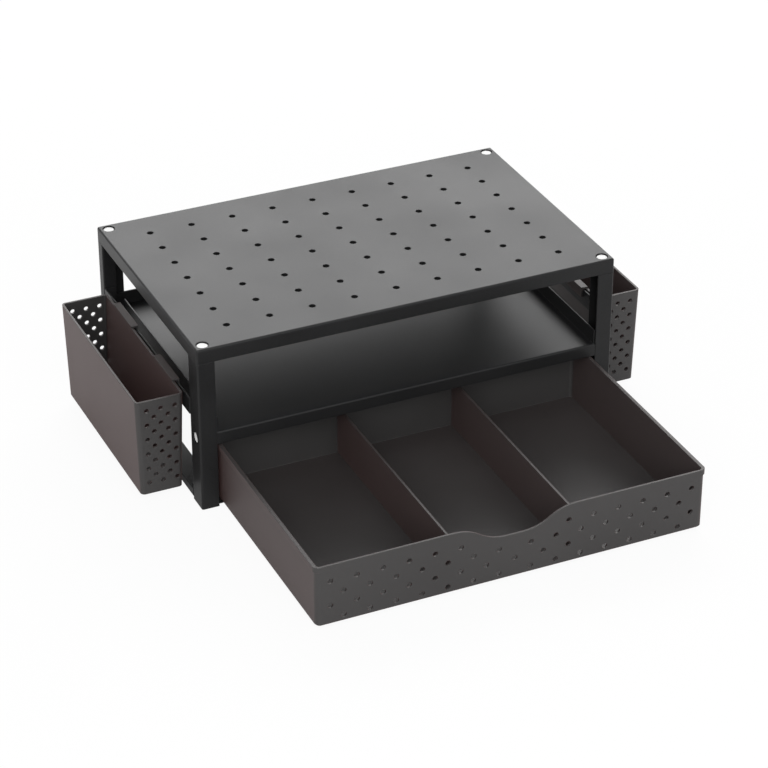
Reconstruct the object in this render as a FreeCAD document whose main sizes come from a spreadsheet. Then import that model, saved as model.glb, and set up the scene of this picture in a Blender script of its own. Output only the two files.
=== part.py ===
import FreeCAD, Part
import math
import os
import re
import Sketcher

# Monitor stand: a folded sheet-steel frame with a perforated top, a middle shelf, a moulded
# drawer that slides on two bottom rails and two moulded baskets that hang on the side rails.
# X runs left to right, Y from front to back, Z up. Lengths are millimetres.

SIZES = [
    ("stand_width", 400, "over the legs, left to right"),
    ("stand_depth", 250, "over the legs, front to back"),
    ("stand_height", 160, "floor to the top face"),
    ("steel", 1.2, "sheet thickness of every folded piece"),
    ("bend_radius", 1.8, "outer radius of every fold"),
    ("fit_gap", 0.3, "between pieces that lie side by side, and under what slides or hangs"),
    ("skirt_height", 13.5, "turned-down edge of the top panel"),
    ("vent_diameter", 6, "perforation of the top panel"),
    ("vent_pitch_x", 40, "between perforations, left to right"),
    ("vent_pitch_y", 31, "between perforations, front to back"),
    ("vent_columns", 9, "perforations, left to right"),
    ("vent_rows", 7, "perforations, front to back"),
    ("liner_thickness", 1, "damping sheet bonded under the top"),
    ("liner_notch", 16.5, "cut-out of the damping sheet at each corner, from the outer faces"),
    ("top_screw_inset", 8.5, "screw axis to the outer faces, at each corner of the top"),
    ("dimple_diameter", 11, "sunk seat of a capped screw"),
    ("dimple_depth", 3, "sunk seat of a capped screw"),
    ("screw_diameter", 4, "shank of every screw"),
    ("screw_hole", 4.4, "clearance hole for the shank"),
    ("screw_length", 9, "shank under the head"),
    ("sunk_head_diameter", 8, "screw head under a cap"),
    ("sunk_head_height", 1.4, "screw head under a cap"),
    ("pan_head_diameter", 7.5, "screw head on the rear face"),
    ("pan_head_height", 1.8, "screw head on the rear face"),
    ("cap_diameter", 9.5, "white cap"),
    ("cap_height", 0.7, "white cap"),
    ("nut_width", 7, "across flats"),
    ("nut_height", 3.2, "thickness"),
    ("thread_play", 0.1, "between a nut and its screw, on the diameter"),
    ("leg_lift", 0.4, "lower end of the legs above the floor"),
    ("front_leg_face", 16, "width of the leg's front face"),
    ("front_leg_side", 22, "width of the leg's side face"),
    ("rear_leg_face", 22.5, "width of the leg's rear face"),
    ("rear_leg_side", 12, "width of the leg's side face"),
    ("leg_return", 12, "inward fold on the inner edge of each leg's side face"),
    ("leg_tab_reach", 7, "leg's top tab beyond the screw axis"),
    ("foot_height", 1.5, "rubber pad"),
    ("foot_diameter", 14, "rubber pad"),
    ("foot_inset_x", 12, "pad centre to the stand's side face"),
    ("foot_inset_y", 20, "pad centre to the stand's front or rear face"),
    ("bottom_rail_top", 10, "upper edge of the bottom rail's outer flange"),
    ("bottom_rail_width", 23.3, "level flange that carries the drawer"),
    ("hook_rail_low", 86, "lower edge of the rail that carries a basket"),
    ("hook_rail_high", 102, "upper edge of the rail that carries a basket"),
    ("hook_rail_tab", 11, "inward fold at each end of the rail"),
    ("shelf_top", 76, "upper face of the shelf"),
    ("shelf_lip", 12, "turned-down front edge of the shelf, overall"),
    ("shelf_side_rise", 14, "turned-up side edges above the shelf"),
    ("shelf_side_stop", 107, "rear end of the turned-up side edges"),
    ("shelf_back_rise", 12.6, "turned-up rear edge above the shelf"),
    ("side_screw_z", 68.5, "screw through each front leg into the shelf"),
    ("side_screw_inset", 11, "the same screw's axis behind the front face"),
    ("rear_screw_z", 82, "screw through each rear leg into the shelf"),
    ("rear_screw_inset", 10, "the same screw's axis from the side face"),
    ("drawer_open", 206, "how far the drawer stands out"),
    ("drawer_back_gap", 10, "behind the drawer when it is pushed in"),
    ("drawer_side_gap", 3.3, "drawer's side wall to the front leg's edge"),
    ("drawer_rim_top", 61, "upper edge of the drawer"),
    ("drawer_wall", 2, "walls and floor of the drawer"),
    ("drawer_corner", 5, "upright outer corners of the drawer"),
    ("drawer_foot_bevel", 1.5, "bevel under the drawer's walls"),
    ("rim_height", 5, "thickened rim of the drawer's side walls"),
    ("rim_proud", 1.2, "thickened rim beyond the side wall"),
    ("divider_x", 56.5, "centre of each divider from the middle"),
    ("divider_wall", 2, "thickness of a divider"),
    ("divider_drop", 9, "top of the dividers below the rim"),
    ("scoop_half_width", 57, "finger scoop in the drawer's front"),
    ("scoop_flat", 8, "half of the level bottom of the scoop"),
    ("scoop_depth", 15.5, "bottom of the scoop below the rim"),
    ("front_hole", 5, "perforation of the drawer's front"),
    ("front_hole_pitch", 23.55, "between perforations in one row"),
    ("front_hole_start", 26.6, "first perforation of the first and third rows from the middle"),
    ("front_row_pitch", 12, "between rows"),
    ("front_row_low", 9.5, "lowest row above the floor"),
    ("front_hole_columns", 7, "perforations on each side of the middle in a full row"),
    ("basket_top", 102.5, "upper edge of a basket"),
    ("basket_bottom", 8.3, "underside of a basket"),
    ("basket_length", 195, "basket, front to back at the rim"),
    ("basket_centre_y", 3.6, "middle of a basket behind the stand's middle"),
    ("basket_width", 44.3, "basket, across the rim"),
    ("basket_gap", 1.7, "basket's rim to the stand's side face"),
    ("basket_end_draft", 1.4, "how far the end walls lean in, top to bottom"),
    ("basket_outer_draft", 2.3, "how far the outer wall leans in, top to bottom"),
    ("basket_inner_draft", 3.5, "how far the inner wall leans away from the stand"),
    ("basket_wall", 2, "walls and floor of a basket"),
    ("basket_corner", 4, "upright outer corners of a basket"),
    ("hook_length", 47, "hook, front to back"),
    ("hook_spread", 103, "between the two hooks' middles"),
    ("hook_thickness", 1.7, "top of a hook, over the rail"),
    ("hook_root", 3, "how far a hook reaches down into the wall"),
    ("hook_lip", 1.5, "lip of a hook, inside the rail"),
    ("hook_drop", 9.5, "height of a hook, overall"),
    ("basket_hole", 4.4, "perforation of the basket's end walls"),
    ("basket_hole_pitch_x", 6.5, "between columns"),
    ("basket_hole_pitch_z", 14.65, "between holes in one column"),
    ("basket_hole_low", 19.6, "lowest hole above the floor"),
    ("basket_hole_centre", 23.1, "middle column from the stand's side face"),
    ("basket_hole_rows", 6, "holes in a full column"),
]

NORMAL = {"XY": 1, "XZ": -1, "YZ": 1}
LEFT, RIGHT = -1, 1
HOLE_SIDES = 8    # flats that stand for the circle of a perforation, screw hole or shank
SEAT_SIDES = 16   # flats that stand for the circle of a screw's seat or head, a cap or a foot
FRONT, REAR = -1, 1
UP, DOWN = 1, -1

doc = FreeCAD.newDocument("monitor_stand")
sheet = doc.addObject("Spreadsheet::Sheet", "Sizes")
for row, (alias, size, meaning) in enumerate(SIZES, start=1):
    sheet.set(f"A{row}", meaning)
    sheet.set(f"B{row}", str(size))
    sheet.setAlias(f"B{row}", alias)
doc.recompute()

ALIASES = {alias for alias, size, meaning in SIZES}
PARTS = []

# Places that several pieces share, written with the sheet's names.
HALF_W = "stand_width / 2"
HALF_D = "stand_depth / 2"
SKIRT_BOTTOM = "(stand_height - skirt_height)"
LEG_TOP = "(stand_height - skirt_height - fit_gap)"
LEG_TAB_TOP = "(stand_height - dimple_depth - steel)"
RAIL_FACE = "(foot_height + steel)"
BEND_INNER = "(bend_radius - steel)"
SHELF_HALF = "(stand_width / 2 - front_leg_face - fit_gap)"
EAR_FACE = "(stand_width / 2 - dimple_depth - steel)"
SIDE_SCREW_Y = "(side_screw_inset - stand_depth / 2)"
REAR_SCREW_X = "(stand_width / 2 - rear_screw_inset)"
DRAWER_HALF = "(stand_width / 2 - front_leg_face - drawer_side_gap)"
DRAWER_BOTTOM = "(foot_height + steel + fit_gap)"
DRAWER_DEPTH = "(stand_depth - drawer_back_gap)"
BASKET_NEAR = "(stand_width / 2 + basket_gap)"
CENTRE_SHIFT = "(drawer_open - pan_head_height) / 2"


def bound(text):
    """The expression with every size's name pointing at the sheet."""
    return re.sub(r"[a-z_]+", lambda m: "Sizes." + m.group() if m.group() in ALIASES else m.group(), text)


def value(text):
    """The expression's present value."""
    return float(sheet.evalExpression(bound(text)))


def times(sign, text):
    return f"{sign} * ({text})"


def bind(target, prop, text):
    target.setExpression(prop, bound(text))


def place(target, x="0", y="0", z="0", turn=None):
    """Stands a piece at its place; every piece moves back so that the origin is mid-way."""
    if turn:
        target.Placement = FreeCAD.Placement(FreeCAD.Vector(), turn)
    bind(target, "Placement.Base.x", x)
    bind(target, "Placement.Base.y", f"{y} + {CENTRE_SHIFT}")
    bind(target, "Placement.Base.z", z)


def keep(piece, label):
    piece.Label = label
    PARTS.append(piece)


def new_body(label):
    body = doc.addObject("PartDesign::Body", label)
    keep(body, label)
    place(body)
    return body


def new_sketch(body, name, plane, level):
    """A sketch parallel to one of the body's planes, at a level along that plane's axis."""
    sketch = body.newObject("Sketcher::SketchObject", name)
    datum = next(f for f in body.Origin.OriginFeatures if f.Role == plane + "_Plane")
    sketch.AttachmentSupport = [(datum, "")]
    sketch.MapMode = "FlatFace"
    bind(sketch, "AttachmentOffset.Base.z", times(NORMAL[plane], level))
    return sketch


def pin(sketch, geometry, point, corner):
    """Ties a point of the sketch to its two coordinates."""
    for kind, text in zip(("DistanceX", "DistanceY"), corner):
        index = sketch.addConstraint(Sketcher.Constraint(kind, geometry, point, value(text)))
        bind(sketch, f"Constraints[{index}]", text)


def at(corner):
    return FreeCAD.Vector(value(corner[0]), value(corner[1]), 0)


def draw_outline(sketch, corners):
    """A closed outline of straight lines through the corners."""
    first = sketch.GeometryCount
    for here, there in zip(corners, corners[1:] + corners[:1]):
        sketch.addGeometry(Part.LineSegment(at(here), at(there)), False)
    for index, corner in enumerate(corners):
        following = first + (index + 1) % len(corners)
        sketch.addConstraint(Sketcher.Constraint("Coincident", first + index, 2, following, 1))
        pin(sketch, first + index, 1, corner)


def swollen(diameter, sides):
    """Half the width over the corners of a regular outline as large as a circle."""
    swell = math.sqrt(2 * math.pi / sides / math.sin(2 * math.pi / sides))
    return f"({diameter}) / 2 * {swell:.6f}"


def draw_round(sketch, centre, diameter, sides):
    """A regular outline of flats round a centre, in place of a circle."""
    corners = []
    for index in range(sides):
        angle = (index + 0.5) * 2 * math.pi / sides
        corners.append(tuple(f"({middle}) + {swollen(diameter, sides)} * ({share:.6f})"
                             for middle, share in zip(centre, (math.cos(angle), math.sin(angle)))))
    draw_outline(sketch, corners)


def draw_line(sketch, start, stop):
    geometry = sketch.addGeometry(Part.LineSegment(at(start), at(stop)), False)
    pin(sketch, geometry, 1, start)
    pin(sketch, geometry, 2, stop)


def draw_arc(sketch, start, stop, centre, radius):
    """The shorter arc between two points round a centre."""
    start_now, stop_now, centre_now = at(start), at(stop), at(centre)
    bulge = (start_now + stop_now) * 0.5 - centre_now
    bulge.normalize()
    curve = Part.Arc(start_now, centre_now + bulge * value(radius), stop_now)
    geometry = sketch.addGeometry(curve, False)
    forward = sketch.getPoint(geometry, 1).distanceToPoint(start_now) < 0.001
    pin(sketch, geometry, 1 if forward else 2, start)
    pin(sketch, geometry, 2 if forward else 1, stop)
    index = sketch.addConstraint(Sketcher.Constraint("Radius", geometry, value(radius)))
    bind(sketch, f"Constraints[{index}]", radius)


def draw_rounded_box(sketch, low_x, low_y, high_x, high_y, radius):
    """A rectangle whose corners are arcs; the low and high sides may be mirrored."""
    in_x, in_y = f"({high_x}) - ({low_x})", f"({high_y}) - ({low_y})"
    step_x = f"({radius}) * {1 if value(in_x) > 0 else -1}"
    step_y = f"({radius}) * {1 if value(in_y) > 0 else -1}"
    near_x, far_x = f"({low_x}) + {step_x}", f"({high_x}) - {step_x}"
    near_y, far_y = f"({low_y}) + {step_y}", f"({high_y}) - {step_y}"
    draw_line(sketch, (near_x, low_y), (far_x, low_y))
    draw_arc(sketch, (far_x, low_y), (high_x, near_y), (far_x, near_y), radius)
    draw_line(sketch, (high_x, near_y), (high_x, far_y))
    draw_arc(sketch, (high_x, far_y), (far_x, high_y), (far_x, far_y), radius)
    draw_line(sketch, (far_x, high_y), (near_x, high_y))
    draw_arc(sketch, (near_x, high_y), (low_x, far_y), (near_x, far_y), radius)
    draw_line(sketch, (low_x, far_y), (low_x, near_y))
    draw_arc(sketch, (low_x, near_y), (near_x, low_y), (near_x, near_y), radius)


def box(low_x, low_y, high_x, high_y):
    return [(low_x, low_y), (high_x, low_y), (high_x, high_y), (low_x, high_y)]


def extrude(kind, body, name, plane, level, length, towards, outlines, rounds, rounded):
    """A Pad or Pocket from a sketch at that level, growing or cutting along + or - the axis."""
    sketch = new_sketch(body, name + "_sketch", plane, level)
    for corners in outlines:
        draw_outline(sketch, corners)
    for centre, diameter, sides in rounds:
        draw_round(sketch, centre, diameter, sides)
    for sides, radius in rounded:
        draw_rounded_box(sketch, *sides, radius)
    feature = body.newObject("PartDesign::" + kind, name)
    feature.Profile = sketch
    bind(feature, "Length", length)
    with_normal = towards == NORMAL[plane]
    feature.Reversed = with_normal if kind == "Pocket" else not with_normal
    return feature


def pad(body, name, plane, level, length, towards, *outlines, rounds=(), rounded=()):
    return extrude("Pad", body, name, plane, level, length, towards, outlines, rounds, rounded)


def pocket(body, name, plane, level, length, towards, *outlines, rounds=(), rounded=()):
    """A Pocket that must take material away."""
    doc.recompute()
    before = body.Shape.Volume
    feature = extrude("Pocket", body, name, plane, level, length, towards, outlines, rounds, rounded)
    doc.recompute()
    if not body.Shape.Volume < before:
        raise ValueError(name + " cuts nothing")
    return feature


def repeat(body, name, feature, steps):
    """Repeats a feature along the axes of its sketch: (axis, pitch, count) once or twice."""
    pattern = body.newObject("PartDesign::LinearPattern", name)
    pattern.Originals = [feature]
    for suffix, (axis, pitch, count) in zip(("", "2"), steps):
        setattr(pattern, "Direction" + suffix, (feature.Profile[0], [axis]))
        bind(pattern, "Length" + suffix, f"({pitch}) * ({count} - 1)")
        bind(pattern, "Occurrences" + suffix, count)
    body.Tip = pattern
    return pattern


def edge_names(shape, test):
    return [f"Edge{i}" for i, edge in enumerate(shape.Edges, start=1) if test(edge)]


def near(a, b):
    return abs(a - b) < 0.01


def upright_at(*corners):
    """Test for straight edges that stand over one of the corners."""
    spots = [at(corner) for corner in corners]

    def over(point, spot):
        return near(point.x, spot.x) and near(point.y, spot.y)

    def test(edge):
        ends = [vertex.Point for vertex in edge.Vertexes]
        return len(ends) == 2 and any(all(over(end, spot) for end in ends) for spot in spots)
    return test


def dress_edges(kind, size_name, body, name, test, size):
    """A fillet or bevel on the edges of the body that pass the test, in the body's own frame."""
    doc.recompute()
    base = body.Tip
    feature = body.newObject("PartDesign::" + kind, name)
    feature.Base = (base, edge_names(base.Shape, test))
    bind(feature, size_name, size)
    return feature


def round_edges(body, name, test, radius):
    return dress_edges("Fillet", "Radius", body, name, test, radius)


def bevel_edges(body, name, test, size):
    return dress_edges("Chamfer", "Size", body, name, test, size)


# Top panel: a shallow pan turned upside down, with a sunk seat for a screw at each corner.
def make_top_panel():
    body = new_body("top_panel")
    outer_x, outer_y = HALF_W, HALF_D
    rim = box("-" + outer_x, "-" + outer_y, outer_x, outer_y)
    pad(body, "panel_block", "XY", SKIRT_BOTTOM, "skirt_height", UP, rim)
    round_edges(body, "panel_corners", upright_at(*rim), "bend_radius")
    top = value("stand_height")
    doc.recompute()
    round_edges(body, "panel_folds",
                lambda edge: all(near(vertex.Z, top) for vertex in edge.Vertexes), "bend_radius")
    inner_x, inner_y = HALF_W + " - steel", HALF_D + " - steel"
    hollow = box(f"-({inner_x})", f"-({inner_y})", inner_x, inner_y)
    pocket(body, "panel_hollow", "XY", SKIRT_BOTTOM, "skirt_height - steel", UP, hollow)
    corners = [(times(side, HALF_W + " - top_screw_inset"), times(end, HALF_D + " - top_screw_inset"))
               for side in (LEFT, RIGHT) for end in (FRONT, REAR)]
    pad(body, "dimple_walls", "XY", "stand_height - steel", "dimple_depth", DOWN,
        rounds=[(corner, "dimple_diameter + 2 * steel", SEAT_SIDES) for corner in corners])
    pocket(body, "dimples", "XY", "stand_height", "dimple_depth", DOWN,
           rounds=[(corner, "dimple_diameter", SEAT_SIDES) for corner in corners])
    pocket(body, "screw_holes", "XY", "stand_height - dimple_depth", "steel", DOWN,
           rounds=[(corner, "screw_hole", HOLE_SIDES) for corner in corners])
    first = ("-vent_pitch_x * (vent_columns - 1) / 2", "-vent_pitch_y * (vent_rows - 1) / 2")
    vent = pocket(body, "vent", "XY", "stand_height", "steel", DOWN,
                  rounds=[(first, "vent_diameter", HOLE_SIDES)])
    repeat(body, "vents", vent, [("H_Axis", "vent_pitch_x", "vent_columns"),
                                 ("V_Axis", "vent_pitch_y", "vent_rows")])


# Damping sheet: bonded under the panel, with each corner cut out round the screw's seat.
def make_top_liner():
    body = new_body("top_liner")
    reach_x, reach_y = f"({HALF_W} - steel - fit_gap)", f"({HALF_D} - steel - fit_gap)"
    cut_x, cut_y = f"({HALF_W} - liner_notch)", f"({HALF_D} - liner_notch)"
    outline = []
    for sign_x, sign_y, x_first in ((RIGHT, REAR, True), (LEFT, REAR, False),
                                    (LEFT, FRONT, True), (RIGHT, FRONT, False)):
        side_end = (times(sign_x, reach_x), times(sign_y, cut_y))
        inner = (times(sign_x, cut_x), times(sign_y, cut_y))
        front_end = (times(sign_x, cut_x), times(sign_y, reach_y))
        outline += [side_end, inner, front_end] if x_first else [front_end, inner, side_end]
    pad(body, "liner", "XY", "stand_height - steel", "liner_thickness", DOWN, outline)


# Legs: a folded channel, open inwards. Its head steps in by one sheet, stands inside the
# panel's skirt and carries the panel on a level tab.
def make_leg(label, side, end):
    body = new_body(label)
    kind = "front_leg" if end == FRONT else "rear_leg"
    face, depth = f"{kind}_face", f"{kind}_side"

    def spot(x_in, y_in):
        """A point given by its distances from the stand's side and front or rear faces."""
        return (times(side, f"{HALF_W} - ({x_in})"), times(end, f"{HALF_D} - ({y_in})"))

    channel = [spot(face, "0"), spot("0", "0"), spot("0", depth), spot("leg_return", depth),
               spot("leg_return", depth + " - steel"), spot("steel", depth + " - steel"),
               spot("steel", "steel"), spot(face, "steel")]
    pad(body, "channel", "XY", "leg_lift", LEG_TOP + " - leg_lift", UP, channel)
    round_edges(body, "outer_folds", upright_at(channel[1], channel[2]), "bend_radius")
    head_bottom = LEG_TOP + " - steel"
    head = [spot(face, "steel"), spot("steel", "steel"), spot("steel", depth),
            spot("2 * steel", depth), spot("2 * steel", "2 * steel"), spot(face, "2 * steel")]
    pad(body, "head", "XY", head_bottom, f"{LEG_TAB_TOP} - ({head_bottom})", UP, head)
    reach = "top_screw_inset + leg_tab_reach"
    tab = [spot("steel", "steel"), spot(reach, "steel"), spot(reach, reach), spot("steel", reach)]
    pad(body, "tab", "XY", LEG_TAB_TOP, "steel", DOWN, tab)
    screw = spot("top_screw_inset", "top_screw_inset")
    pocket(body, "tab_hole", "XY", LEG_TAB_TOP, "steel", DOWN, rounds=[(screw, "screw_hole", HOLE_SIDES)])
    # The return fold stops on the bottom rail, which runs on under it.
    past = f"{depth} - steel - {BEND_INNER}"
    notch = [spot("steel", depth), spot("leg_return", depth), spot("leg_return", past),
             spot("steel", past)]
    pocket(body, "rail_notch", "XY", RAIL_FACE, RAIL_FACE + " - leg_lift", DOWN, notch)
    if end == FRONT:
        axis = (SIDE_SCREW_Y, "side_screw_z")
        pad(body, "dimple_wall", "YZ", times(side, HALF_W + " - steel"), "dimple_depth", -side,
            rounds=[(axis, "dimple_diameter + 2 * steel", SEAT_SIDES)])
        pocket(body, "dimple", "YZ", times(side, HALF_W), "dimple_depth", -side,
               rounds=[(axis, "dimple_diameter", SEAT_SIDES)])
        pocket(body, "screw_hole", "YZ", times(side, HALF_W + " - dimple_depth"), "steel", -side,
               rounds=[(axis, "screw_hole", HOLE_SIDES)])
    else:
        axis = (times(side, REAR_SCREW_X), "rear_screw_z")
        pocket(body, "screw_hole", "XZ", HALF_D, "steel", FRONT, rounds=[(axis, "screw_hole", HOLE_SIDES)])


# Bottom rail: an angle whose upright flange closes the side between the legs and whose level
# flange carries the drawer and runs on into both legs.
def make_bottom_rail(label, side):
    body = new_body(label)
    outer, inner = times(side, HALF_W), times(side, HALF_W + " - steel")
    edge = times(side, HALF_W + " - bottom_rail_width")
    angle = [(edge, "foot_height"), (outer, "foot_height"), (outer, "bottom_rail_top"),
             (inner, "bottom_rail_top"), (inner, RAIL_FACE), (edge, RAIL_FACE)]
    start, stop = f"front_leg_side - {HALF_D}", f"{HALF_D} - rear_leg_side"
    pad(body, "angle", "XZ", start, f"({stop}) - ({start})", REAR, angle)

    def fold_line(x, z):
        return lambda edge: all(near(v.X, value(x)) and near(v.Z, value(z)) for v in edge.Vertexes)

    round_edges(body, "outer_fold", fold_line(outer, "foot_height"), "bend_radius")
    room = f"steel + {BEND_INNER} + fit_gap"
    ends = f"{HALF_D} - ({room})"
    plate = box(edge, times(FRONT, ends), times(side, f"{HALF_W} - ({room})"), ends)
    pad(body, "plate", "XY", "foot_height", "steel", UP, plate)


# Hook rail: a flat strip flush with the side, folded inwards at each end against the legs.
def make_hook_rail(label, side):
    body = new_body(label)
    outer, inner = times(side, HALF_W), times(side, HALF_W + " - steel")
    tip = times(side, HALF_W + " - hook_rail_tab")
    start, stop = f"front_leg_side - {HALF_D}", f"{HALF_D} - rear_leg_side"
    strip = [(tip, start), (outer, start), (outer, stop), (tip, stop), (tip, stop + " - steel"),
             (inner, stop + " - steel"), (inner, start + " + steel"), (tip, start + " + steel")]
    pad(body, "strip", "XY", "hook_rail_low", "hook_rail_high - hook_rail_low", UP, strip)
    round_edges(body, "outer_folds", upright_at(strip[1], strip[2]), "bend_radius")


# Middle shelf: a folded tray. Ears on its front lip run back along the front legs' sides, and
# its turned-up rear edge reaches behind the rear legs' faces.
def make_shelf():
    body = new_body("middle_shelf")
    front, back = "-" + HALF_D, HALF_D + " - steel"
    under = "shelf_top - steel"
    deck = box(times(LEFT, SHELF_HALF), front, SHELF_HALF, back)
    pad(body, "deck", "XY", "shelf_top", "steel", DOWN, deck)
    lip = box(times(LEFT, SHELF_HALF), "shelf_top - shelf_lip", SHELF_HALF, "shelf_top")
    pad(body, "lip", "XZ", front, "steel", REAR, lip)
    doc.recompute()
    front_y, top_z = value(front), value("shelf_top")
    round_edges(body, "lip_fold",
                lambda edge: all(near(v.Y, front_y) and near(v.Z, top_z) for v in edge.Vertexes),
                "bend_radius")
    start = f"steel - {HALF_D}"
    ear_stop = f"front_leg_side - steel - fit_gap - {HALF_D}"
    for name, side in (("left", LEFT), ("right", RIGHT)):
        rise = box(start, under, "shelf_side_stop", "shelf_top + shelf_side_rise")
        pad(body, name + "_rise", "YZ", times(side, SHELF_HALF), "steel", -side, rise)
        # The ear steps behind the leg's front face, then folds back along its side.
        behind = box(times(side, SHELF_HALF + " - steel"), "shelf_top - shelf_lip",
                     times(side, EAR_FACE), under)
        pad(body, name + "_ear_step", "XZ", start, "steel", REAR, behind)
        ear = box(start, "shelf_top - shelf_lip", ear_stop, under)
        pad(body, name + "_ear", "YZ", times(side, EAR_FACE), "steel", -side, ear)
        pocket(body, name + "_ear_hole", "YZ", times(side, EAR_FACE), "steel", -side,
               rounds=[((SIDE_SCREW_Y, "side_screw_z"), "screw_hole", HOLE_SIDES)])
    wing = f"{HALF_W} - steel - {BEND_INNER} - fit_gap"
    rise_top = "shelf_top + shelf_back_rise"
    rear_rise = [(times(LEFT, wing), "shelf_top"), (times(LEFT, SHELF_HALF), "shelf_top"),
                 (times(LEFT, SHELF_HALF), under), (SHELF_HALF, under), (SHELF_HALF, "shelf_top"),
                 (wing, "shelf_top"), (wing, rise_top), (times(LEFT, wing), rise_top)]
    pad(body, "rear_rise", "XZ", back, "steel", FRONT, rear_rise)
    pocket(body, "rear_holes", "XZ", back, "steel", FRONT,
           rounds=[((times(side, REAR_SCREW_X), "rear_screw_z"), "screw_hole", HOLE_SIDES)
                   for side in (LEFT, RIGHT)])


# Drawer: one moulding with two dividers, a finger scoop and a perforated front. Its own frame
# has the front face at Y = 0.
def make_drawer():
    body = new_body("drawer_tray")
    place(body, y=f"-{HALF_D} - drawer_open")
    half, wall = DRAWER_HALF, "drawer_wall"
    base = (times(LEFT, half), "0", half, DRAWER_DEPTH)
    pad(body, "block", "XY", DRAWER_BOTTOM, "drawer_rim_top - " + DRAWER_BOTTOM, UP,
        rounded=[(base, "drawer_corner")])
    doc.recompute()
    floor_z = value(DRAWER_BOTTOM)
    bevel_edges(body, "foot_bevel",
                lambda edge: all(near(vertex.Z, floor_z) for vertex in edge.Vertexes),
                "drawer_foot_bevel")
    rim_x = half + " + rim_proud"
    pad(body, "rim", "XY", "drawer_rim_top", "rim_height", DOWN,
        rounded=[((times(LEFT, rim_x), "0", rim_x, DRAWER_DEPTH), "drawer_corner")])
    inner_x, inner_y = half + " - drawer_wall", DRAWER_DEPTH + " - drawer_wall"
    height = f"(drawer_rim_top - {DRAWER_BOTTOM})"
    pocket(body, "inside", "XY", "drawer_rim_top", height + " - drawer_wall", DOWN,
           rounded=[((times(LEFT, inner_x), wall, inner_x, inner_y), "drawer_corner - drawer_wall")])
    near_x, far_x = "divider_x - divider_wall / 2", "divider_x + divider_wall / 2"
    plates = [box(times(side, near_x), "drawer_wall / 2", times(side, far_x),
                  DRAWER_DEPTH + " - drawer_wall / 2") for side in (LEFT, RIGHT)]
    pad(body, "dividers", "XY", DRAWER_BOTTOM + " + drawer_wall / 2",
        height + " - drawer_wall / 2 - divider_drop", UP, *plates)
    cut_scoop(body)
    middle = ("0", "front_row_low + front_row_pitch")
    pocket(body, "middle_hole", "XZ", "0", wall, REAR, rounds=[(middle, "front_hole", HOLE_SIDES)])
    # Rows from the lowest up: odd ones start half a pitch further out, and the top one starts
    # beyond the scoop.
    half_pitch = "front_hole_start - front_hole_pitch / 2"
    for row, (start, skip) in enumerate(((half_pitch, 0), ("front_hole_start", 0),
                                         (half_pitch, 0), ("front_hole_start", 1))):
        z = f"front_row_low + {row} * front_row_pitch"
        for name, side in (("left", LEFT), ("right", RIGHT)):
            x = times(side, f"{start} + {skip} * front_hole_pitch")
            hole = pocket(body, f"hole_{row}_{name}", "XZ", "0", wall, REAR,
                          rounds=[((x, z), "front_hole", HOLE_SIDES)])
            pattern = repeat(body, f"holes_{row}_{name}", hole,
                             [("H_Axis", "front_hole_pitch", f"front_hole_columns - {skip}")])
            pattern.Reversed = side == LEFT


def cut_scoop(body):
    """The scoop's edge: a level bottom and, on each side, two equal arcs that meet mid-way."""
    sketch = new_sketch(body, "scoop_sketch", "XZ", "0")
    run = "(scoop_half_width - scoop_flat)"
    radius = f"(({run} * {run} + scoop_depth * scoop_depth) / (4 * scoop_depth))"
    rim, low = "drawer_rim_top", "drawer_rim_top - scoop_depth"
    for side in (LEFT, RIGHT):
        crest = (times(side, "scoop_half_width"), rim)
        middle = (times(side, f"scoop_flat + {run} / 2"), "drawer_rim_top - scoop_depth / 2")
        foot = (times(side, "scoop_flat"), low)
        draw_arc(sketch, crest, middle, (crest[0], f"{rim} - {radius}"), radius)
        draw_arc(sketch, middle, foot, (foot[0], f"{low} + {radius}"), radius)
    draw_line(sketch, (times(LEFT, "scoop_flat"), low), ("scoop_flat", low))
    draw_line(sketch, (times(LEFT, "scoop_half_width"), rim), ("scoop_half_width", rim))
    cut = body.newObject("PartDesign::Pocket", "scoop")
    cut.Profile = sketch
    bind(cut, "Length", "drawer_wall")


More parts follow.
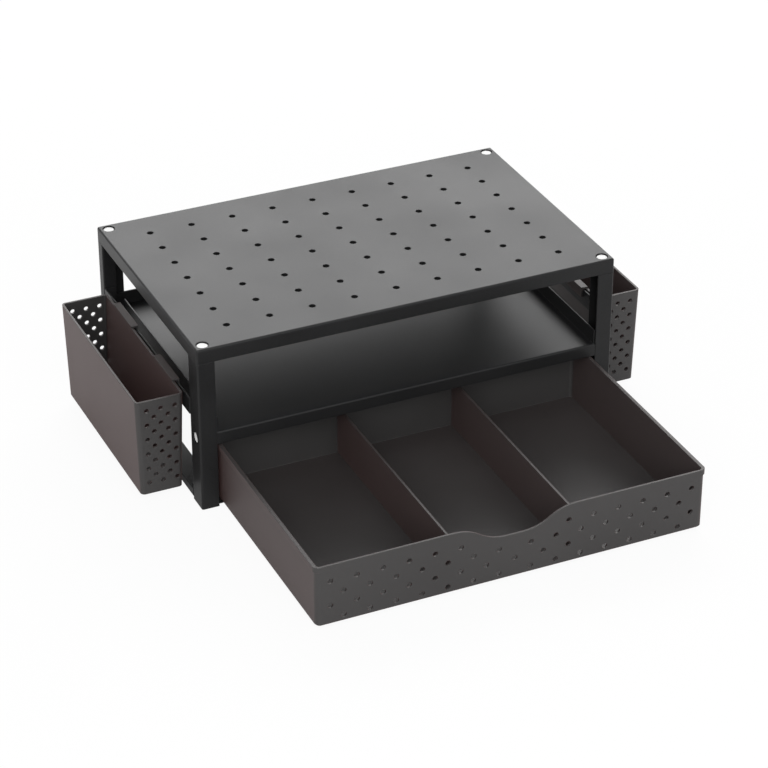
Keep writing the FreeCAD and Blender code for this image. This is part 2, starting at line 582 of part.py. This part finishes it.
# Basket: a tapered moulding that hangs on the hook rail by two hooks.
def make_basket(label, side):
    body = new_body(label)
    height = "(basket_top - basket_bottom)"

    near_x = times(side, BASKET_NEAR)
    front_y = "(basket_centre_y - basket_length / 2)"
    section = [(near_x, "basket_top"), (times(side, BASKET_NEAR + " + basket_width"), "basket_top"),
               (times(side, BASKET_NEAR + " + basket_width - basket_outer_draft"), "basket_bottom"),
               (times(side, BASKET_NEAR + " + basket_inner_draft"), "basket_bottom")]
    pad(body, "block", "XZ", front_y, "basket_length", REAR, section)
    for name, end, upper in (("front", FRONT, front_y), ("rear", REAR, front_y + " + basket_length")):
        wedge = [(upper, "basket_top"), (upper, "basket_bottom"),
                 (f"{upper} - ({times(end, 'basket_end_draft')})", "basket_bottom")]
        pocket(body, name + "_lean", "YZ", near_x, "basket_width", side, wedge)
    doc.recompute()
    tall = value(height) - 1
    round_edges(body, "corners",
                lambda edge: len(edge.Vertexes) == 2
                and abs(edge.Vertexes[0].Z - edge.Vertexes[1].Z) > tall, "basket_corner")
    doc.recompute()
    solid = body.Shape.Volume
    top_z = value("basket_top")
    base = body.Tip
    mouth = [f"Face{i}" for i, face in enumerate(base.Shape.Faces, start=1)
             if all(near(vertex.Z, top_z) for vertex in face.Vertexes)]
    shell = body.newObject("PartDesign::Thickness", "shell")
    shell.Base = (base, mouth)
    bind(shell, "Value", "basket_wall")
    shell.Reversed = True
    shell.Join = 1
    doc.recompute()
    if not body.Shape.Volume < solid / 2:
        raise ValueError(label + " stays solid")
    # The hooks rise from the inner wall, reach over the rail and turn down behind it.
    rail_top = "hook_rail_high + fit_gap"
    hook_top, tip = f"{rail_top} + hook_thickness", f"{rail_top} + hook_thickness - hook_drop"
    root_near = f"{BASKET_NEAR} + (basket_wall - hook_thickness) / 2"
    root_far = f"{BASKET_NEAR} + (basket_wall + hook_thickness) / 2"
    lip_outer, lip_inner = f"{HALF_W} - steel - fit_gap", f"{HALF_W} - steel - fit_gap - hook_lip"
    hook = [(times(side, across), height_up) for across, height_up in (
        (root_far, "basket_top - hook_root"), (root_far, hook_top), (lip_inner, hook_top),
        (lip_inner, tip), (lip_outer, tip), (lip_outer, rail_top), (root_near, rail_top),
        (root_near, "basket_top - hook_root"))]
    first = "basket_centre_y - hook_spread / 2 - hook_length / 2"
    for name, start in (("front", first), ("rear", first + " + hook_spread")):
        pad(body, name + "_hook", "XZ", start, "hook_length", REAR, hook)
    # The perforations go straight through both ends: full columns and, between them, short ones.
    centre_x = f"{HALF_W} + basket_hole_centre"
    for name, columns, shift, rows in (("full", 3, "0", "basket_hole_rows"),
                                       ("short", 2, "1", "basket_hole_rows - 1")):
        x = times(side, f"{centre_x} - basket_hole_pitch_x * ({columns} - 1)")
        z = f"basket_hole_low + {shift} * basket_hole_pitch_z / 2"
        hole = pocket(body, name + "_hole", "XZ", front_y, "basket_length", REAR,
                      rounds=[((x, z), "basket_hole", HOLE_SIDES)])
        pattern = repeat(body, name + "_holes", hole,
                         [("H_Axis", "2 * basket_hole_pitch_x", str(columns)),
                          ("V_Axis", "basket_hole_pitch_z", rows)])
        pattern.Reversed = side == LEFT


# Fasteners and feet: identical pieces share one group of separate solids.
def make_peg(name, diameter, height, sides, z="0"):
    """A short round of flats that stands on Z = 0, or on the given level."""
    peg = doc.addObject("Part::Prism", name)
    peg.Polygon = sides
    bind(peg, "Circumradius", swollen(diameter, sides))
    bind(peg, "Height", height)
    bind(peg, "Placement.Base.z", z)
    return peg


def make_screw(name, head_diameter, head_height, head_sides):
    """Head above Z = 0, shank below."""
    screw = doc.addObject("Part::Fuse", name)
    screw.Base = make_peg(name + "_head", head_diameter, head_height, head_sides)
    screw.Tool = make_peg(name + "_shank", "screw_diameter", "screw_length", HOLE_SIDES,
                          "-screw_length")
    return screw


def make_nut(name):
    """Hexagon nut with its bearing face at Z = 0, below it."""
    hexagon = doc.addObject("Part::Prism", name + "_hexagon")
    hexagon.Polygon = 6
    bind(hexagon, "Circumradius", f"nut_width / 2 / {math.cos(math.pi / 6)}")
    bind(hexagon, "Height", "nut_height")
    bind(hexagon, "Placement.Base.z", "-nut_height")
    nut = doc.addObject("Part::Cut", name)
    nut.Base = hexagon
    nut.Tool = make_peg(name + "_bore", "screw_diameter + thread_play", "nut_height", HOLE_SIDES,
                        "-nut_height")
    return nut


def make_group(label, make_one, spots):
    """One node of identical pieces: each spot is a place and the way its Z axis points."""
    pieces = []
    for index, (x, y, z, turn) in enumerate(spots, start=1):
        piece = make_one(f"{label}_{index}")
        place(piece, x, y, z, turn)
        pieces.append(piece)
    group = doc.addObject("Part::Compound", label)
    group.Links = pieces
    keep(group, label)


def outward(side):
    return FreeCAD.Rotation(FreeCAD.Vector(0, 1, 0), 90 * side)


BACKWARD = FreeCAD.Rotation(FreeCAD.Vector(1, 0, 0), -90)
UPWARD = FreeCAD.Rotation()


def corner_spots(inset_x, inset_y, z):
    return [(times(side, f"{HALF_W} - {inset_x}"), times(end, f"{HALF_D} - {inset_y}"), z, UPWARD)
            for side in (LEFT, RIGHT) for end in (FRONT, REAR)]


def side_spots(depth):
    return [(times(side, f"{HALF_W} - ({depth})"), SIDE_SCREW_Y, "side_screw_z", outward(side))
            for side in (LEFT, RIGHT)]


def rear_spots(depth):
    return [(times(side, REAR_SCREW_X), f"{HALF_D} - ({depth})", "rear_screw_z", BACKWARD)
            for side in (LEFT, RIGHT)]


def sunk_screw(name):
    return make_screw(name, "sunk_head_diameter", "sunk_head_height", HOLE_SIDES)


def pan_screw(name):
    return make_screw(name, "pan_head_diameter", "pan_head_height", SEAT_SIDES)


def make_cap(name):
    return make_peg(name, "cap_diameter", "cap_height", SEAT_SIDES)


def make_foot(name):
    return make_peg(name, "foot_diameter", "foot_height", SEAT_SIDES)


def make_fasteners():
    inset = "top_screw_inset"
    make_group("top_screws", sunk_screw, corner_spots(inset, inset, "stand_height - dimple_depth"))
    make_group("top_caps", make_cap,
               corner_spots(inset, inset, "stand_height - dimple_depth + sunk_head_height"))
    make_group("top_nuts", make_nut, corner_spots(inset, inset, LEG_TAB_TOP + " - steel"))
    make_group("side_screws", sunk_screw, side_spots("dimple_depth"))
    make_group("side_caps", make_cap, side_spots("dimple_depth - sunk_head_height"))
    make_group("side_nuts", make_nut, side_spots("dimple_depth + 2 * steel"))
    make_group("rear_screws", pan_screw, rear_spots("0"))
    make_group("rear_nuts", make_nut, rear_spots("2 * steel"))
    make_group("foot_pads", make_foot, corner_spots("foot_inset_x", "foot_inset_y", "0"))


def check_all():
    for item in doc.Objects:
        if "Invalid" in item.State or "Error" in item.State:
            raise ValueError(f"{item.Label} did not compute: {item.State}")
    for piece in PARTS:
        if piece.Shape.isNull() or not piece.Shape.isValid():
            raise ValueError(piece.Label + " has no valid shape")


make_top_panel()
make_top_liner()
for side_name, side in (("left", LEFT), ("right", RIGHT)):
    make_leg(f"front_{side_name}_leg", side, FRONT)
    make_leg(f"rear_{side_name}_leg", side, REAR)
    make_bottom_rail(f"{side_name}_bottom_rail", side)
    make_hook_rail(f"{side_name}_hook_rail", side)
    make_basket(f"{side_name}_basket", side)
make_shelf()
make_drawer()
make_fasteners()
doc.recompute()
check_all()

os.makedirs("parts", exist_ok=True)
for piece in PARTS:
    piece.Shape.exportStep(f"parts/{piece.Label}.step")
    print(piece.Label, len(piece.Shape.Solids), "solids", round(piece.Shape.Volume / 1000, 2), "cm3")
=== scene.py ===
import math

import bmesh
import bpy
from mathutils import Matrix, Vector


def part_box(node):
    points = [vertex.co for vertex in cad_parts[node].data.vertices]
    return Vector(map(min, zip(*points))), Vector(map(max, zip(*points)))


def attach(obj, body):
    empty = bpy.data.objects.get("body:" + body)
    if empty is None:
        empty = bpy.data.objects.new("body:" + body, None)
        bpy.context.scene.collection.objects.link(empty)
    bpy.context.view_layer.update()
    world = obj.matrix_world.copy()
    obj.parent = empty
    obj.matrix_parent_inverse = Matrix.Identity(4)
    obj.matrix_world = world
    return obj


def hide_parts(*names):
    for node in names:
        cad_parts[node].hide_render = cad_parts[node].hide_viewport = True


# Looks of the monitor stand: powder-coated steel frame, moulded drawer and baskets, white caps.
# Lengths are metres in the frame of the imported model, whose nodes are dressed in place.
# Colours are linear, and a brightness of 1 is white.

CAMERA_FROM_STAND = Vector((-0.9142, -2.0733, 1.3552))  # from the floor under the stand's middle
CAMERA_PITCH = 59.33      # degrees, from straight down
CAMERA_YAW = -24.50       # degrees, from +Y
CAMERA_NEAR, CAMERA_FAR = 0.1, 60
LENS_MM = 132.99
SENSOR_MM = 36

UP = Vector((0, 0, 1))
REARWARD = Vector((0, 1, 0))
RIGHTWARD = Vector((1, 0, 0))

WHITE = (1, 1, 1, 1)

FLOOR_HALF = 15
FLOOR_DROP = 0.0002       # under the feet
FLOOR_DARK = (0.86, 0.86, 0.86, 1)
FLOOR_LIGHT = (0.8772, 0.8772, 0.8772, 1)
FLOOR_CLOUD = 0.6
FLOOR_ROUGH = 0.9
FLOOR_GLOW = 0.93         # share of plain white in what the camera sees of the floor
REFLECTED_GLOW = 0.2      # the same share in reflections and through glass
WORLD_GLOW = 0.4          # what the white surroundings give as light

# Softboxes: place from the middle of the top panel, width, height, brightness, colour.
SOFTBOXES = {
    "back_softbox": ((1.1, 2.4, 1.7), 3.6, 2.2, 3.85, (1, 1, 1)),
    "top_softbox": ((-0.4, -0.6, 2.6), 2.4, 2.4, 0.13, (1, 1, 1)),
    "left_softbox": ((-2.6, 0.3, 0.9), 1.6, 1.4, 0.18, (1, 0.9, 0.88)),
    "front_softbox": ((-0.6, -1.9, 1.1), 2.0, 1.4, 3.95, (1, 1, 1)),
}

NOISE_ENDS = (0.3, 0.7)            # nearly all of a smooth noise lies between them
GRAIN_ENDS = (0.2, 0.8)            # the same for a fine grain
GRAIN_ROUGH = (-0.03, 0.05)        # what the grain adds to the roughness
BEVEL_SAMPLES = 6

STEEL_DARK = (0.009, 0.009, 0.0093, 1)
STEEL_LIGHT = (0.0135, 0.0135, 0.014, 1)
STEEL_SPECK = (0.03, 0.03, 0.031, 1)      # tips of the coat's grain
STEEL_WORN = (0.07, 0.07, 0.072, 1)       # rubbed folds
STEEL_ROUGH = (0.34, 0.42)
STEEL_GLOSS = 0.2

PLASTIC_DARK = (0.024, 0.023, 0.0228, 1)
PLASTIC_LIGHT = (0.033, 0.0318, 0.0315, 1)
PLASTIC_WORN = (0.13, 0.122, 0.118, 1)    # rubbed rims
PLASTIC_ROUGH = (0.52, 0.6)
PLASTIC_GLOSS = 0.55
PLASTIC_SHEEN = 0.12
SHEEN_ROUGH = 0.4
SHEEN_TINT = (1.0, 0.45, 0.41, 1)

CAP_DARK = (0.86, 0.86, 0.855, 1)
CAP_LIGHT = (0.9, 0.9, 0.895, 1)
CAP_ROUGH = (0.45, 0.58)
CAP_GLOSS = 0.05

ZINC_DARK = (0.5, 0.51, 0.52, 1)
ZINC_LIGHT = (0.68, 0.68, 0.66, 1)
ZINC_ROUGH = (0.25, 0.42)

RUBBER_DARK = (0.018, 0.018, 0.018, 1)
RUBBER_LIGHT = (0.032, 0.031, 0.03, 1)
RUBBER_ROUGH = (0.75, 0.9)

# Painted shade: a near-black sheet under the vent holes that stands in for the shade seen through
# them.
SHADE_SHEET_DARK = (0.003, 0.003, 0.003, 1)
SHADE_SHEET_LIGHT = (0.007, 0.007, 0.007, 1)
SHADE_SHEET_ROUGH = (0.92, 1.0)
SHADE_SHEET_GLOSS = 0.1

TURN_STEPS = 48           # points round a turned piece
SPLIT_ANGLE = 50          # degrees; sharper edges of the new pieces stay crisp
SAME_ROW = 0.05           # solids nearer than this, front to back, stand in one row

CAP_ROUND = 0.00035       # round on a white cap's edge
CAP_ARC_STEPS = 3         # steps of that round
CAP_RINGS = (0.02, 0.4, 0.8)       # shares of the radius; they keep the face flat in the shading

HEAD_CROWN = 0.0005       # middle of a screw head above the edge of its crown
HEAD_RINGS = 16           # rings on the crown, close enough for the recess
CROWN_SHARE = 0.98        # radius of the crown over that of the head
RIM_DROP = 1.6 * HEAD_CROWN        # edge of the head below its middle
DRIVE_LENGTH, DRIVE_WIDTH, DRIVE_DEPTH = 0.0042, 0.0009, 0.0011
SHANK_SHARE = 4 / 7.5     # a screw's shank over its head
TIP_SHARE = 0.8           # the shank's tip over the shank
TIP_LENGTH = 0.0006

LEG_NODES = [f"{end}_{side}_leg" for end in ("front", "rear") for side in ("left", "right")]
RAIL_NODES = [f"{side}_{kind}_rail" for side in ("left", "right") for kind in ("bottom", "hook")]
STEEL_NODES = ["top_panel", "middle_shelf"] + LEG_NODES + RAIL_NODES
PLASTIC_NODES = ["drawer_tray", "left_basket", "right_basket"]
ZINC_NODES = ["top_screws", "side_screws", "top_nuts", "side_nuts", "rear_nuts"]
RUBBER_NODES = ["foot_pads"]
# The liner under the vents carries painted shade, a near-black sheet in place of shade.
SHADE_SHEET_NODES = ["top_liner"]


class Nodes:
    """A node tree under construction; its methods add nodes and, but for add, give an output."""

    def __init__(self, tree):
        self.tree = tree

    def add(self, kind, inputs=(), **settings):
        """One node, with its settings and with numbers or links for its inputs."""
        node = self.tree.nodes.new(kind)
        for key, setting in settings.items():
            setattr(node, key, setting)
        for socket, given in dict(inputs).items():
            if isinstance(given, bpy.types.NodeSocket):
                self.tree.links.new(given, node.inputs[socket])
            else:
                node.inputs[socket].default_value = given
        return node

    def spread(self, source, ends, onto=(0, 1)):
        """What lies between the two ends, spread onto another range."""
        node = self.add("ShaderNodeMapRange", {
            "Value": source, "From Min": ends[0], "From Max": ends[1],
            "To Min": onto[0], "To Max": onto[1]})
        return node.outputs["Result"]

    def calculate(self, operation, first, second):
        node = self.add("ShaderNodeMath", {0: first, 1: second}, operation=operation)
        return node.outputs["Value"]

    def rays(self):
        """Two outputs: 1 for the camera's rays, and 1 for those off gloss or through glass."""
        path = self.add("ShaderNodeLightPath").outputs
        mirrored = self.calculate("MAXIMUM", path["Is Glossy Ray"], path["Is Transmission Ray"])
        return path["Is Camera Ray"], mirrored


class Material(Nodes):
    """The node tree of a new material, patterned in each piece's own coordinates."""

    def __init__(self, name):
        self.made = bpy.data.materials.new(name)
        self.made.use_nodes = True
        super().__init__(self.made.node_tree)
        self.shader = next(n for n in self.tree.nodes if n.type == "BSDF_PRINCIPLED")
        self.place = self.add("ShaderNodeTexCoord").outputs["Object"]

    def noise(self, across, detail, roughness=0.5, stretch=(1, 1, 1)):
        """Noise between 0 and 1 whose blotches are about this far across."""
        scaled = self.add("ShaderNodeMapping", {"Vector": self.place, "Scale": stretch})
        node = self.add("ShaderNodeTexNoise", {
            "Vector": scaled.outputs["Vector"], "Scale": 1 / across, "Detail": detail,
            "Roughness": roughness})
        return node.outputs["Fac"]

    def mix(self, share, first, second):
        """A colour between two others; the numbers are the node's sockets for colours."""
        node = self.add("ShaderNodeMix", {0: share, 6: first, 7: second}, data_type="RGBA")
        return node.outputs[2]

    def rounded(self, radius):
        """The surface normal, softened as by an edge of this radius."""
        node = self.add("ShaderNodeBevel", {"Radius": radius}, samples=BEVEL_SAMPLES)
        return node.outputs["Normal"]

    def wear(self, soft, sharpness, patch, ends, least, share):
        """Patchy share of rubbed colour along edges, none on flat faces."""
        flat = self.add("ShaderNodeNewGeometry").outputs["Normal"]
        along = self.add("ShaderNodeVectorMath", {0: soft, 1: flat}, operation="DOT_PRODUCT")
        edges = self.spread(along.outputs["Value"], (1, 1 - sharpness))
        patches = self.spread(self.noise(across=patch, detail=3), ends, (least, 1))
        return self.calculate("MULTIPLY", self.calculate("MULTIPLY", edges, patches), share)

    def bump(self, pattern, height, strength, normal):
        node = self.add("ShaderNodeBump", {
            "Height": pattern, "Distance": height, "Strength": strength, "Normal": normal})
        return node.outputs["Normal"]

    def finish(self, colour, roughness, normal, plain=()):
        """Links the patterns to the shader, sets its plain numbers and gives the material."""
        links = {"Base Color": colour, "Roughness": roughness, "Normal": normal}
        for socket, source in links.items():
            self.tree.links.new(source, self.shader.inputs[socket])
        for socket, number in dict(plain).items():
            self.shader.inputs[socket].default_value = number
        return self.made


def black_steel():
    """Fine powder coat: a pebbled grain, faint cloudiness and lighter rubbed folds."""
    m = Material("black_steel_coat")
    cloud = m.noise(across=0.09, detail=3)
    grain = m.noise(across=0.0007, detail=2, roughness=0.6)
    soft = m.rounded(0.0008)
    shade = m.mix(m.spread(cloud, NOISE_ENDS), STEEL_DARK, STEEL_LIGHT)
    speckle = m.mix(m.spread(grain, ends=(0.35, 0.75), onto=(0, 0.3)), shade, STEEL_SPECK)
    worn = m.wear(soft, sharpness=0.35, patch=0.006, ends=(0.35, 0.7), least=0.25, share=0.2)
    colour = m.mix(worn, speckle, STEEL_WORN)
    rough = m.calculate("ADD", m.spread(cloud, NOISE_ENDS, STEEL_ROUGH),
                        m.spread(grain, GRAIN_ENDS, GRAIN_ROUGH))
    normal = m.bump(grain, height=0.00012, strength=0.35, normal=soft)
    return m.finish(colour, rough, normal, {"Specular IOR Level": STEEL_GLOSS})


def black_plastic():
    """Moulded plastic with an even satin grain, a warm tone and lighter rubbed rims."""
    m = Material("black_plastic_moulded")
    cloud = m.noise(across=0.12, detail=3)
    grain = m.noise(across=0.00045, detail=2, roughness=0.6)
    soft = m.rounded(0.0007)
    shade = m.mix(m.spread(cloud, NOISE_ENDS), PLASTIC_DARK, PLASTIC_LIGHT)
    worn = m.wear(soft, sharpness=0.4, patch=0.008, ends=NOISE_ENDS, least=0.3, share=0.14)
    colour = m.mix(worn, shade, PLASTIC_WORN)
    rough = m.calculate("ADD", m.spread(cloud, NOISE_ENDS, PLASTIC_ROUGH),
                        m.spread(grain, GRAIN_ENDS, GRAIN_ROUGH))
    normal = m.bump(grain, height=0.00008, strength=0.3, normal=soft)
    return m.finish(colour, rough, normal, {
        "Specular IOR Level": PLASTIC_GLOSS, "Sheen Weight": PLASTIC_SHEEN,
        "Sheen Roughness": SHEEN_ROUGH, "Sheen Tint": SHEEN_TINT})


def white_plastic():
    """Pushed-in cap: satin white with the least marks."""
    m = Material("white_plastic_cap")
    cloud = m.noise(across=0.004, detail=3)
    smears = m.noise(across=0.0015, detail=3)
    grain = m.noise(across=0.0009, detail=2)
    colour = m.mix(m.spread(cloud, NOISE_ENDS), CAP_DARK, CAP_LIGHT)
    rough = m.spread(smears, NOISE_ENDS, CAP_ROUGH)
    normal = m.bump(grain, height=0.00003, strength=0.2, normal=m.rounded(0.0004))
    return m.finish(colour, rough, normal, {"Specular IOR Level": CAP_GLOSS})


def zinc():
    """Bright zinc plating, brushed by the tumbling of the parts."""
    m = Material("zinc_plated")
    cloud = m.noise(across=0.002, detail=3)
    scratches = m.noise(across=0.0006, detail=4, roughness=0.7, stretch=(1, 1, 0.15))
    colour = m.mix(m.spread(cloud, NOISE_ENDS), ZINC_DARK, ZINC_LIGHT)
    rough = m.spread(scratches, NOISE_ENDS, ZINC_ROUGH)
    normal = m.bump(scratches, height=0.00003, strength=0.3, normal=m.rounded(0.0003))
    return m.finish(colour, rough, normal, {"Metallic": 1})


def rubber():
    """Matt black rubber pad."""
    m = Material("black_rubber_pad")
    cloud = m.noise(across=0.005, detail=3)
    grain = m.noise(across=0.0006, detail=2)
    colour = m.mix(m.spread(cloud, NOISE_ENDS), RUBBER_DARK, RUBBER_LIGHT)
    rough = m.spread(cloud, NOISE_ENDS, RUBBER_ROUGH)
    normal = m.bump(grain, height=0.00008, strength=0.4, normal=m.rounded(0.0005))
    return m.finish(colour, rough, normal)


def shade_sheet():
    """Near-black sheet under the vent holes, open-pored: painted shade that darkens what is seen
    through the holes.
    """
    m = Material("painted_shade_sheet")
    pores = m.noise(across=0.0012, detail=3)
    colour = m.mix(m.spread(pores, NOISE_ENDS), SHADE_SHEET_DARK, SHADE_SHEET_LIGHT)
    rough = m.spread(pores, NOISE_ENDS, SHADE_SHEET_ROUGH)
    normal = m.bump(pores, height=0.0002, strength=0.5, normal=m.rounded(0.0003))
    return m.finish(colour, rough, normal, {"Specular IOR Level": SHADE_SHEET_GLOSS})


def dress(names, material):
    """Puts the material on every slot of the nodes."""
    for name in names:
        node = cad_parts[name]
        if not node.material_slots:
            node.data.materials.append(None)
        for slot in node.material_slots:
            slot.link = "OBJECT"
            slot.material = material


def boxes_apart(node):
    """Low and high corner of each solid of a node that has one solid near each corner or side."""
    low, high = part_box(node)
    middle = (low + high) / 2
    two_rows = high.y - low.y > SAME_ROW
    groups = {}
    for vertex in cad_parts[node].data.vertices:
        corner = (vertex.co.x > middle.x, two_rows and vertex.co.y > middle.y)
        groups.setdefault(corner, []).append(vertex.co)
    return [(Vector(map(min, zip(*spots))), Vector(map(max, zip(*spots))))
            for spots in groups.values()]


def level(x, y):
    return 0


def turned(bm, profile, place, lift=level):
    """Adds a turned solid and moves it by `place`.

    The profile lists radius and rise from near the middle of the top to the base, and
    lift(x, y) raises single points further.
    """
    rings = []
    for radius, rise in profile:
        ring = []
        for step in range(TURN_STEPS):
            angle = 2 * math.pi * step / TURN_STEPS
            x, y = radius * math.cos(angle), radius * math.sin(angle)
            ring.append(bm.verts.new(place @ Vector((x, y, rise + lift(x, y)))))
        rings.append(ring)
    for inner, outer in zip(rings, rings[1:]):
        for step in range(TURN_STEPS):
            after = (step + 1) % TURN_STEPS
            bm.faces.new((inner[step], outer[step], outer[after], inner[after]))
    bm.faces.new(rings[0])
    bm.faces.new(rings[-1][::-1])


def add_piece(bm, name, material, node):
    """The finished mesh as a smoothly shaded piece that stands for a node."""
    bmesh.ops.recalc_face_normals(bm, faces=bm.faces)
    mesh = bpy.data.meshes.new(name)
    bm.to_mesh(mesh)
    bm.free()
    mesh.shade_smooth()
    mesh.materials.append(material)
    piece = bpy.data.objects.new(name, mesh)
    bpy.context.scene.collection.objects.link(piece)
    edges = piece.modifiers.new("edges", "EDGE_SPLIT")
    edges.split_angle = math.radians(SPLIT_ANGLE)
    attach(piece, "frame")
    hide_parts(node)


def standing_at(base, outward):
    """Puts the origin on the base, with Z along the outward direction."""
    return Matrix.Translation(base) @ outward.to_track_quat("Z", "Y").to_matrix().to_4x4()


def upward(low, high):
    return UP


def sideways(low, high):
    return RIGHTWARD if low.x + high.x > 0 else -RIGHTWARD


def round_caps(node, outward_of, material):
    """Flat caps with a rounded edge, each facing outward_of(its low and high corner)."""
    bm = bmesh.new()
    for low, high in boxes_apart(node):
        outward = outward_of(low, high)
        middle, size = (low + high) / 2, high - low
        height = abs(size.dot(outward))
        radius = sorted(size)[1] / 2
        face = [(radius * share, height) for share in CAP_RINGS]
        edge = []
        for step in range(CAP_ARC_STEPS, -1, -1):
            turn = math.pi / 2 * step / CAP_ARC_STEPS
            edge.append((radius - CAP_ROUND * (1 - math.cos(turn)),
                         height - CAP_ROUND * (1 - math.sin(turn))))
        base = middle - outward * (height / 2)
        turned(bm, face + edge + [(radius, 0)], standing_at(base, outward))
    add_piece(bm, "round_" + node, material, node)


def cross_recess(x, y):
    """How far the cross recess lowers a point of a screw head."""
    along, across = max(abs(x), abs(y)), min(abs(x), abs(y))
    inside = along < DRIVE_LENGTH / 2 and across < DRIVE_WIDTH / 2
    return -DRIVE_DEPTH if inside else 0


def screw_heads(node, rear_face, material):
    """Crowned heads with a cross recess that lie on the rear face, on their plain shanks."""
    bm = bmesh.new()
    for low, high in boxes_apart(node):
        middle = (low + high) / 2
        place = standing_at(Vector((middle.x, rear_face, middle.z)), REARWARD)
        height = high.y - rear_face
        length = rear_face - low.y
        radius = (high.x - low.x) / 2
        shank = radius * SHANK_SHARE
        shares = [ring / HEAD_RINGS for ring in range(1, HEAD_RINGS + 1)]
        crown = [(radius * CROWN_SHARE * share, height - HEAD_CROWN * share ** 2)
                 for share in shares]
        rim = [(radius, height - RIM_DROP), (radius, 0)]
        tip = [(shank, TIP_LENGTH - length), (shank * TIP_SHARE, -length)]
        turned(bm, crown + rim, place, cross_recess)
        turned(bm, [(shank, 0)] + tip, place)
    add_piece(bm, "crowned_" + node, material, node)


def make_floor():
    """Pale floor that keeps the stand's shadow and looks white elsewhere."""
    bpy.ops.mesh.primitive_plane_add(size=2 * FLOOR_HALF, location=(0, 0, -FLOOR_DROP))
    floor = bpy.context.object
    floor.name = "floor"
    m = Material("studio_floor")
    cloud = m.noise(across=FLOOR_CLOUD, detail=2)
    tint = m.mix(m.spread(cloud, NOISE_ENDS), FLOOR_DARK, FLOOR_LIGHT)
    m.tree.links.new(tint, m.shader.inputs["Base Color"])
    m.shader.inputs["Roughness"].default_value = FLOOR_ROUGH
    m.shader.inputs["Specular IOR Level"].default_value = 0
    glow = m.add("ShaderNodeEmission", {"Color": WHITE, "Strength": 1})
    camera, mirrored = m.rays()
    share = m.calculate("MAXIMUM", m.calculate("MULTIPLY", camera, FLOOR_GLOW),
                        m.calculate("MULTIPLY", mirrored, REFLECTED_GLOW))
    both = m.add("ShaderNodeMixShader", {0: share, 1: m.shader.outputs[0], 2: glow.outputs[0]})
    out = next(n for n in m.tree.nodes if n.type == "OUTPUT_MATERIAL")
    m.tree.links.new(both.outputs[0], out.inputs["Surface"])
    floor.data.materials.append(m.made)


def make_world():
    """Surroundings that look white but give less light than that."""
    world = bpy.data.worlds.new("studio")
    world.use_nodes = True
    bpy.context.scene.world = world
    nodes = Nodes(world.node_tree)
    seen = nodes.calculate("MAXIMUM", *nodes.rays())
    strength = nodes.spread(seen, (0, 1), (WORLD_GLOW, 1))
    background = next(n for n in nodes.tree.nodes if n.type == "BACKGROUND")
    background.inputs["Color"].default_value = WHITE
    nodes.tree.links.new(strength, background.inputs["Strength"])


def make_softboxes(aim):
    """Area lamps that face the aim, each with a surface of the given brightness."""
    for name, (offset, width, height, brightness, colour) in SOFTBOXES.items():
        data = bpy.data.lights.new(name, "AREA")
        data.shape = "RECTANGLE"
        data.size, data.size_y = width, height
        data.energy = brightness * math.pi * width * height
        data.color = colour
        lamp = bpy.data.objects.new(name, data)
        bpy.context.scene.collection.objects.link(lamp)
        lamp.location = aim + Vector(offset)
        lamp.rotation_euler = (-Vector(offset)).to_track_quat("-Z", "Y").to_euler()
        lamp.visible_camera = False


def make_camera(stand_middle):
    """Camera placed from the floor under the stand's middle."""
    data = bpy.data.cameras.new("camera")
    data.sensor_width, data.lens = SENSOR_MM, LENS_MM
    data.clip_start, data.clip_end = CAMERA_NEAR, CAMERA_FAR
    camera = bpy.data.objects.new("camera", data)
    bpy.context.scene.collection.objects.link(camera)
    camera.location = stand_middle + CAMERA_FROM_STAND
    camera.rotation_euler = (math.radians(CAMERA_PITCH), 0, math.radians(CAMERA_YAW))
    bpy.context.scene.camera = camera


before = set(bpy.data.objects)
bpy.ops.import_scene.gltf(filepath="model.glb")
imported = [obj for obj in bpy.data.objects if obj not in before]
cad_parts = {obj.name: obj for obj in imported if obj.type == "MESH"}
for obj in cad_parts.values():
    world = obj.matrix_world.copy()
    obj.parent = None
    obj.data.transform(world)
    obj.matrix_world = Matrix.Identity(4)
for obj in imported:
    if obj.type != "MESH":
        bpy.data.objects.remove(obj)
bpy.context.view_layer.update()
panel_low, panel_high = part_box("top_panel")
panel_middle = (panel_low + panel_high) / 2

bright_zinc, white = zinc(), white_plastic()
dress(STEEL_NODES, black_steel())
dress(PLASTIC_NODES, black_plastic())
dress(ZINC_NODES, bright_zinc)
dress(RUBBER_NODES, rubber())
# The near-black liner under the vents is painted shade.
dress(SHADE_SHEET_NODES, shade_sheet())
round_caps("top_caps", upward, white)
round_caps("side_caps", sideways, white)
screw_heads("rear_screws", panel_high.y, bright_zinc)

make_floor()
make_world()
make_softboxes(panel_middle)
make_camera(Vector((panel_middle.x, panel_middle.y, 0)))
bpy.context.scene.view_settings.view_transform = "Standard"
